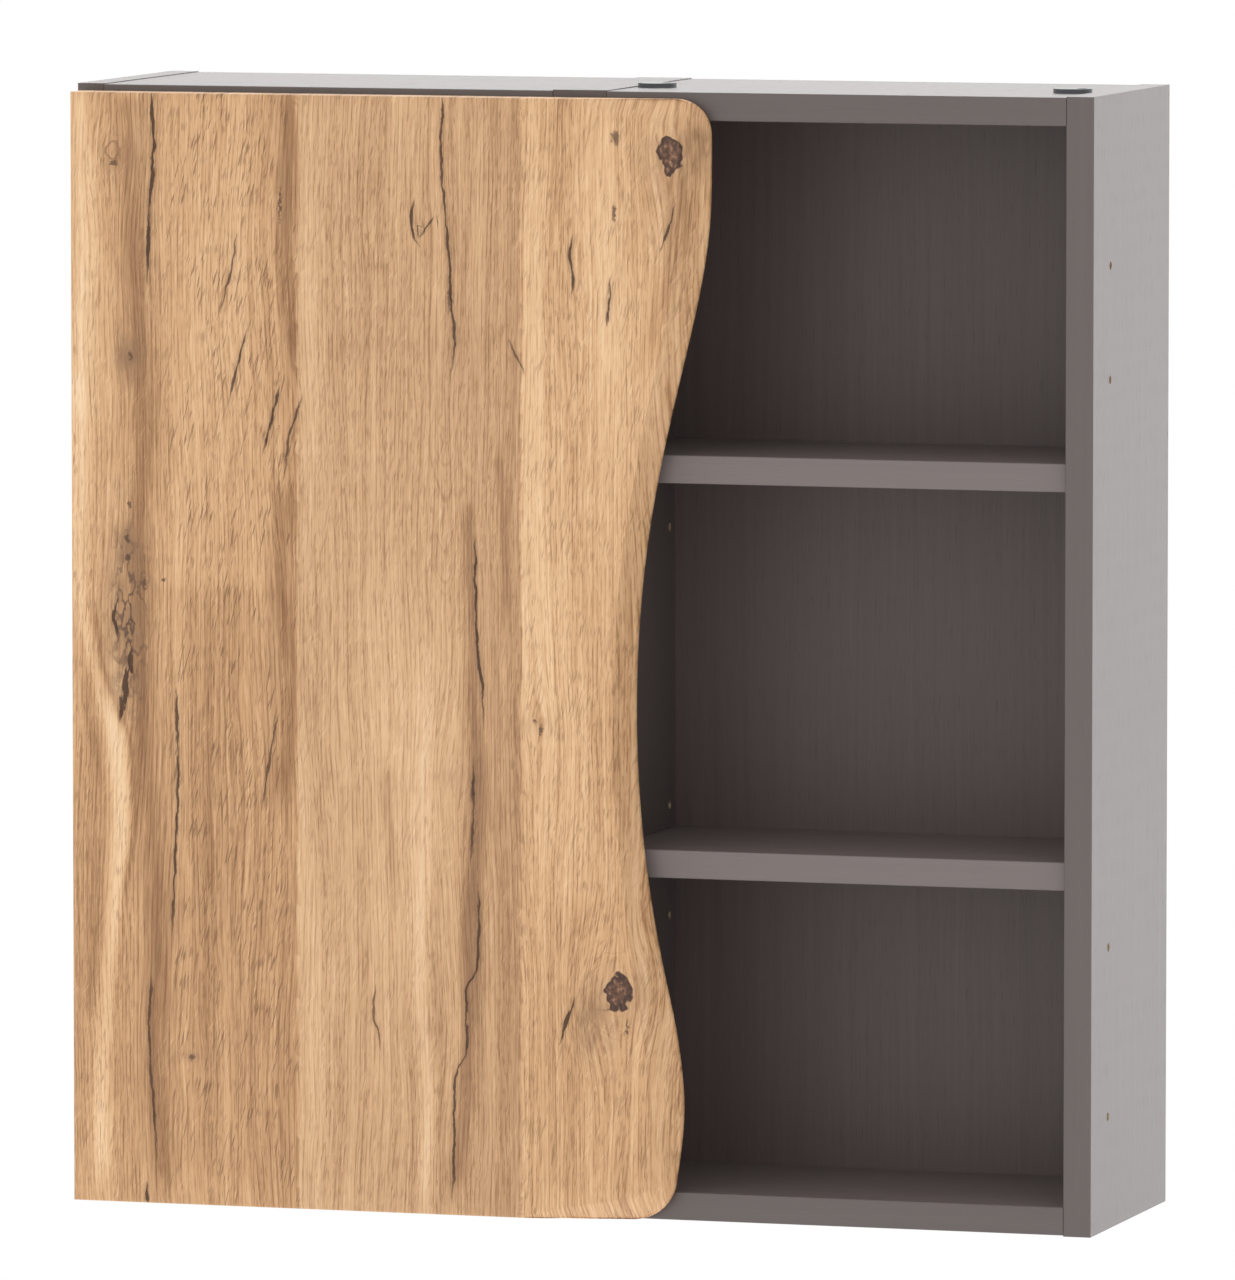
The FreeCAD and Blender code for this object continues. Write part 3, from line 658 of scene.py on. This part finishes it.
def smooth_line(points, step):
    """A centripetal Catmull-Rom curve through points, sampled about every step."""
    points = np.array([2 * points[0] - points[1], *points, 2 * points[-1] - points[-2]])
    knots = np.concatenate([[0], np.cumsum(np.linalg.norm(np.diff(points, axis=0), axis=1) ** 0.5)])
    out = []
    for i in range(1, len(points) - 2):
        t0, t1, t2, t3 = knots[i - 1:i + 3]
        p0, p1, p2, p3 = points[i - 1:i + 3]
        count = max(1, int(round(np.linalg.norm(p2 - p1) / step)))
        for t in np.linspace(t1, t2, count, endpoint=False):
            a1 = (t1 - t) / (t1 - t0) * p0 + (t - t0) / (t1 - t0) * p1
            a2 = (t2 - t) / (t2 - t1) * p1 + (t - t1) / (t2 - t1) * p2
            a3 = (t3 - t) / (t3 - t2) * p2 + (t - t2) / (t3 - t2) * p3
            b1 = (t2 - t) / (t2 - t0) * a1 + (t - t0) / (t2 - t0) * a2
            b2 = (t3 - t) / (t3 - t1) * a2 + (t - t1) / (t3 - t1) * a3
            out.append((t2 - t) / (t2 - t1) * b1 + (t - t1) / (t2 - t1) * b2)
    out.append(points[-2])
    return np.array(out)


def free_edge():
    """The door's free edge from the CAD node's back face, top to bottom, in millimetres."""
    places = np.array([v.co for v in frame["nodes"]["door_panel"].data.vertices]) / MM
    back = places[:, 1] > DOOR_HIGH.y / MM - 0.01
    right = places[:, 0] > -80.0
    places = places[back & right][:, [0, 2]]
    places = np.unique(places.round(3), axis=0)
    top = places[:, 1].max()
    bottom = places[:, 1].min()
    start = places[places[:, 1] > top - 0.01][:, 0].max()
    end = places[places[:, 1] < bottom + 0.01][:, 0].max()
    middle = places[(places[:, 1] < top - 0.01) & (places[:, 1] > bottom + 0.01)]
    middle = middle[np.argsort(-middle[:, 1])]
    # One sweep from the lowest bulge into the bottom corner
    rise = middle[:, 1] - UNDERSIDE / MM
    sweep = np.array(LOWER_SWEEP) + (0, UNDERSIDE / MM)
    middle = np.vstack([middle[rise > 66], sweep, middle[rise < 20]])
    line = smooth_line(np.array([(start, top), *middle, (end, bottom)]), ROW_STEP)
    line[:, 0] = np.minimum(line[:, 0], DOOR_HIGH.x / MM)
    return line


def bevel_at(edge):
    """(points, widths, depths) of the bevel along the free edge and the two fades."""
    low, high = edge[-1, 1], edge[0, 1]
    shares, widths = zip(*BEVEL_WIDTHS)
    width = np.interp((edge[:, 1] - low) / (high - low), shares, widths)
    depth = np.full(len(edge), BEVEL_DEPTH)
    parts = []
    for corner, w, fade in ((edge[0], width[0], TOP_FADE), (edge[-1], width[-1], BOTTOM_FADE)):
        share = np.linspace(0, 1, 30)[1:]
        line = np.column_stack([corner[0] - share * fade, np.full(29, corner[1])])
        parts.append((line, w * (1 - share) ** 0.8, BEVEL_DEPTH * (1 - share) ** 0.8))
    points = np.vstack([edge, parts[0][0], parts[1][0]])
    width = np.concatenate([width, parts[0][1], parts[1][1]])
    depth = np.concatenate([depth, parts[0][2], parts[1][2]])
    return points, np.maximum(width, 0.1), depth


def front_drop(x, z, edge):
    """How far the door's front lies behind its foremost plane, in millimetres."""
    points, width, depth = bevel_at(edge)
    flat = np.column_stack([x.ravel(), z.ravel()])
    drop = np.zeros(len(flat))
    near = flat[:, 0] > points[:, 0].min() - 20
    for index in np.flatnonzero(near):
        away = np.hypot(*(points - flat[index]).T)
        share = 1 - away / width
        best = share * depth
        k = best.argmax()
        if share[k] > -0.35:
            # A soft shoulder where the bevel meets the flat front
            s = share[k]
            soft = (s + math.sqrt(s * s + 0.03)) / 2 - 0.012
            drop[index] = depth[k] * max(0.0, soft)
    drop = np.minimum(drop, BEVEL_DEPTH).reshape(x.shape)
    edges = (x - x.min(), z.max() - z, z - z.min())
    for distance in edges:
        inset = np.clip(EDGE_ROUND - distance, 0, EDGE_ROUND)
        drop = np.maximum(drop, EDGE_ROUND - np.sqrt(EDGE_ROUND ** 2 - inset ** 2))
    return drop


def lattice(x, z, width, length, seed):
    """Smooth random values from -0.5 to 0.5 in patches of about width by length."""
    table = np.random.default_rng(seed).random((64, 64)) - 0.5
    u, v = x / width + 640, z / length + 640
    i, j = np.floor(u).astype(int), np.floor(v).astype(int)
    fu, fv = u - i, v - j
    fu, fv = fu * fu * (3 - 2 * fu), fv * fv * (3 - 2 * fv)
    i0, i1, j0, j1 = i % 64, (i + 1) % 64, j % 64, (j + 1) % 64
    low = table[i0, j0] * (1 - fu) + table[i1, j0] * fu
    high = table[i0, j1] * (1 - fu) + table[i1, j1] * fu
    return low * (1 - fv) + high * fv


def spot(place, x, z):
    """1 at the middle of an elliptic patch and 0 far from it."""
    return np.exp(-(((x - place[0]) / place[2]) ** 2) - ((z - place[1]) / place[3]) ** 2)


def smooth_step(value, low, high):
    share = np.clip((value - low) / (high - low), 0, 1)
    return share * share * (3 - 2 * share)


def beside(course, x, z):
    """(distance to the side of a course, 1 along it and 0 past its ends)."""
    line = smooth_line(np.array(course, dtype=float), 2.0)
    line = line[np.argsort(line[:, 1])]
    low, high = line[0, 1], line[-1, 1]
    taper = min(30.0, (high - low) / 3)
    ends = smooth_step(z, low - 1, low + taper)
    ends = ends * smooth_step(z, high + 1, high - min(taper, 12.0))
    return x - np.interp(z, line[:, 1], line[:, 0]), ends


def paint_layers(mesh):
    """Lays the slow changes of the wood's grain, tone and cracks on the door's vertices."""
    places = np.array([v.co for v in mesh.vertices]) / MM
    x = places[:, 0]
    z = places[:, 2] - UNDERSIDE / MM
    front = places[:, 1] < DOOR_HIGH.y / MM - 0.1
    swirl = np.zeros(len(x))
    for kx, height, width, tall, strength in KNOTS:
        near = spot((kx, height, width * 2.2, tall * 2.4 + 10), x, z)
        swirl -= strength * (x - kx) / (width * 1.6) * near
    sway = 9.0 * lattice(x, z, 34, 80, 41) + 3.0 * lattice(x, z, 12, 30, 42)
    tone = np.zeros(len(x))
    for half_width, strength, *course in BANDS:
        away, ends = beside(course, x, z)
        tone += strength * ends * np.exp(-(((away + sway) / half_width) ** 2))
    for place in PALE:
        tone += place[4] * spot(place, x, z)
    # The glued boards differ most beside their seams
    left, right = SEAMS
    tone += np.where(x > left, 0.12 * np.exp(-(((x - left) / 34) ** 2)), 0)
    tone -= np.where(x < left, 0.12 * np.exp(-(((x - left) / 16) ** 2)), 0)
    tone -= np.where(x < right, 0.14 * np.exp(-(((x - right) / 18) ** 2)), 0)
    tone += np.where(x > right, 0.06 * np.exp(-(((x - right) / 12) ** 2)), 0)
    cloud = np.zeros(len(x))
    for place in CLOUDS:
        cloud += place[4] * spot(place, x + swirl + 0.6 * sway, z)
    side = np.full(len(x), 50.0)
    reach = np.zeros(len(x))
    for half_width, *course in CRACKS:
        away, ends = beside(course, x, z)
        nearer = (ends > 0) & (np.abs(away) < 8) & (np.abs(away) < np.abs(side))
        side = np.where(nearer, away, side)
        close = smooth_step(np.abs(away), half_width + 5.0, half_width + 2.6)
        reach = np.where(nearer, half_width * ends * close, reach)
    layers = {
        "swirl": swirl,
        "tone": tone,
        "cloud": cloud,
        "crack_side": side,
        "crack_reach": reach,
    }
    for name, values in layers.items():
        layer = mesh.attributes.new(name, "FLOAT", "POINT")
        layer.data.foreach_set("value", np.where(front, values, 0.0).astype(np.float32))


def knot_hollows(x, z):
    """The shallow hollows of the open knots."""
    total = np.zeros_like(x)
    for index in DARK_KNOTS:
        kx, kz, width, tall, _ = KNOTS[index]
        square = ((x - kx) / width) ** 2 + ((z - UNDERSIDE / MM - kz) / tall) ** 2
        total += 0.5 * np.exp(-square ** 2)
    return total


def door_mesh():
    """The door with a soft natural bevel, rounded edges and holes for the hinge cups."""
    edge = free_edge()
    left = DOOR_LOW.x / MM
    near_left = np.array([0.0, 0.15, 0.5, 1.0, 1.6]) / 330
    middle = np.linspace(0.008, 0.93, 150)
    near_right = np.linspace(0.935, 1.0, 26)
    shares = np.concatenate([near_left, middle, near_right])
    x = left + np.outer(edge[:, 0] - left, shares)
    z = np.repeat(edge[:, 1:2], len(shares), axis=1)
    y = DOOR_LOW.y / MM + front_drop(x, z, edge) + knot_hollows(x, z)
    y = np.minimum(y, DOOR_HIGH.y / MM - 2.6)
    mesh = bmesh.new()
    rows, columns = x.shape
    grid = [
        [mesh.verts.new((x[i, j] * MM, y[i, j] * MM, z[i, j] * MM)) for j in range(columns)]
        for i in range(rows)
    ]
    for i in range(rows - 1):
        for j in range(columns - 1):
            mesh.faces.new((grid[i][j], grid[i + 1][j], grid[i + 1][j + 1], grid[i][j + 1]))
    ring = list(grid[0])
    ring += [grid[i][-1] for i in range(1, rows)]
    ring += [grid[-1][j] for j in range(columns - 2, -1, -1)]
    ring += [grid[i][0] for i in range(rows - 2, 0, -1)]
    centre = Vector((-110 * MM, 0, (DOOR_LOW.z + DOOR_HIGH.z) / 2))
    back = DOOR_HIGH.y
    for depth, inset in ((back - BACK_ROUND * MM, 0.0), (back, BACK_ROUND * MM)):
        above = ring
        ring = []
        for vertex in above:
            place = vertex.co.copy()
            inward = Vector((math.copysign(inset, centre.x - place.x), 0, 0))
            if abs(place.z - DOOR_HIGH.z) < 1e-6 or abs(place.z - DOOR_LOW.z) < 1e-6:
                inward.z = math.copysign(inset, centre.z - place.z)
            ring.append(mesh.verts.new((place.x + inward.x, depth, place.z + inward.z)))
        for k in range(len(ring)):
            n = (k + 1) % len(ring)
            mesh.faces.new((above[k], above[n], ring[n], ring[k]))
    close_back(mesh, ring, back)
    bmesh.ops.recalc_face_normals(mesh, faces=mesh.faces)
    data = bpy.data.meshes.new("oak_door")
    mesh.to_mesh(data)
    mesh.free()
    data.shade_smooth()
    data.set_sharp_from_angle(angle=math.radians(50))
    paint_layers(data)
    return data


def close_back(mesh, ring, back):
    """Fills the door's back round the two cup holes, and gives the holes walls and floors."""
    loops = [mesh.edges.get((ring[k], ring[(k + 1) % len(ring)])) for k in range(len(ring))]
    for low, high in loose_boxes("hinge_cups"):
        centre_x = low.x + CUP_CENTRE
        centre_z = (low.z + high.z) / 2
        mouth = []
        floor = []
        for k in range(CUP_SIDES):
            turn = math.tau * k / CUP_SIDES
            x = centre_x + CUP_RADIUS * math.cos(turn)
            z = centre_z + CUP_RADIUS * math.sin(turn)
            mouth.append(mesh.verts.new((x, back, z)))
            floor.append(mesh.verts.new((x, back - CUP_DEPTH, z)))
        for k in range(CUP_SIDES):
            n = (k + 1) % CUP_SIDES
            mesh.faces.new((mouth[k], mouth[n], floor[n], floor[k]))
            loops.append(mesh.edges.get((mouth[k], mouth[n])))
        mesh.faces.new(floor)
    bmesh.ops.triangle_fill(mesh, use_beauty=True, edges=loops, normal=(0, 1, 0))


# Dressing ---------------------------------------------------------------------------------

BOARD = (0.104, 0.082, 0.077)
BACK = (0.109, 0.080, 0.075)
# Shelves and bottom panel: the same dark board as the carcass, painted lighter to stand in for
# light falling on their tops from above and in front (painted light)
SHELF_AND_BOTTOM_PAINTED_LIGHTER = (0.185, 0.150, 0.141)
BAND = (0.120, 0.099, 0.092)
SHELF_BAND = (0.176, 0.147, 0.140)


def dress():
    upright = laminate("dark_board_upright", BOARD, "upright", holes=True, raw_rear=True)
    level = laminate("dark_board_level", BOARD, "level", raw_rear=True)
    # The shelves and the bottom panel take the board colour painted lighter, as painted light from
    # above and in front
    shelf = laminate("dark_shelf_painted_lighter", SHELF_AND_BOTTOM_PAINTED_LIGHTER, "level")
    bottom = laminate("dark_bottom_painted_lighter", SHELF_AND_BOTTOM_PAINTED_LIGHTER, "level", raw_rear=True)
    back = laminate("dark_back_upright", BACK, "upright")
    looks = {
        "oak": oak(),
        "beech": turned_wood("beech_dowel"),
        "dark_plastic": plastic("cap_plastic", (0.085, 0.088, 0.095), 0.42),
        "clear_rubber": plastic("bumper_rubber", (0.52, 0.52, 0.49), 0.55),
        "zinc": metal("zinc_casting", (0.47, 0.47, 0.46), 0.42, 3.0),
        "nickel_steel": metal("nickel_plate", (0.52, 0.50, 0.47), 0.28, 12.0),
        "edge_band": plastic("band_under", BAND, 0.45),
        "back_board": back,
        "dark_board": level,
    }
    slots = {row["node"]: row["material_slot"] for row in frame["record"]["subparts"]}
    for name, node in frame["nodes"].items():
        look = looks[slots[name]]
        if name.endswith("_side"):
            look = upright
        if name.endswith("_shelf"):
            look = shelf
        if name.endswith("_bottom_panel"):
            look = bottom
        node.data.materials.clear()
        node.data.materials.append(look)
    side_band = laminate("side_band_upright", BAND, "upright", contrast=0.35)
    panel_band = laminate("panel_band_level", BAND, "level", contrast=0.35)
    shelf_band = laminate("shelf_band_level", SHELF_BAND, "level", contrast=0.35)
    edge_strips("side_edge_strips", side_band, "side_bands")
    for module in ("left", "right"):
        edge_strips(f"{module}_panel_strips", panel_band, f"{module}_panel_bands")
        edge_strips(f"{module}_shelf_strips", shelf_band, f"{module}_shelf_bands")
    piece_from("oak_door", door_mesh(), looks["oak"], "door", "oak", "door_panel")


def camera():
    """A long lens from the right and a little above, as for a catalogue picture."""
    data = bpy.data.cameras.new("camera")
    data.sensor_width = 36.0
    data.lens = 366.49
    data.clip_end = 200.0
    eye = bpy.data.objects.new("camera", data)
    eye.location = (2.1904, -7.17226, 0.3799)
    eye.rotation_euler = (math.radians(90 - 5.02894), 0.0, math.radians(17.19219))
    bpy.context.scene.collection.objects.link(eye)
    bpy.context.scene.camera = eye


def floor():
    """A wide pale floor below the hanging cabinet, clear when seen from underneath."""
    bpy.ops.mesh.primitive_circle_add(vertices=96, radius=60, fill_type="NGON")
    ground = bpy.context.object
    ground.name = "floor"
    ground.location = (0, 0, UNDERSIDE - 0.9)
    material = bpy.data.materials.new("floor")
    material.use_nodes = True
    tree = material.node_tree
    tree.nodes.clear()
    out = tree.nodes.new("ShaderNodeOutputMaterial")
    mix = tree.nodes.new("ShaderNodeMixShader")
    diffuse = tree.nodes.new("ShaderNodeBsdfDiffuse")
    clear = tree.nodes.new("ShaderNodeBsdfTransparent")
    side = tree.nodes.new("ShaderNodeNewGeometry")
    diffuse.inputs[0].default_value = (0.96, 0.96, 0.96, 1)
    tree.links.new(side.outputs["Backfacing"], mix.inputs[0])
    tree.links.new(diffuse.outputs[0], mix.inputs[1])
    tree.links.new(clear.outputs[0], mix.inputs[2])
    tree.links.new(mix.outputs[0], out.inputs[0])
    ground.data.materials.append(material)


def light():
    world = bpy.data.worlds.new("studio")
    world.use_nodes = True
    sky = world.node_tree.nodes["Background"]
    sky.inputs[0].default_value = (1.0, 1.0, 1.0, 1.0)
    sky.inputs[1].default_value = 1.045
    bpy.context.scene.world = world
    # A wide panel behind brightens the outer side, the top and the floor
    panel = bpy.data.lights.new("rear_panel", "AREA")
    panel.shape = "RECTANGLE"
    panel.size = 9.0
    panel.size_y = 6.0
    panel.energy = 235.0
    lamp = bpy.data.objects.new("rear_panel", panel)
    lamp.location = (0.0, 4.0, 1.6)
    lamp.rotation_euler = (math.radians(-90), 0.0, 0.0)
    lamp.visible_camera = False
    bpy.context.scene.collection.objects.link(lamp)
    bpy.context.scene.view_settings.view_transform = "Standard"
    bpy.context.scene.view_settings.look = "None"


dress()
camera()
floor()
light()
bpy.context.view_layer.update()
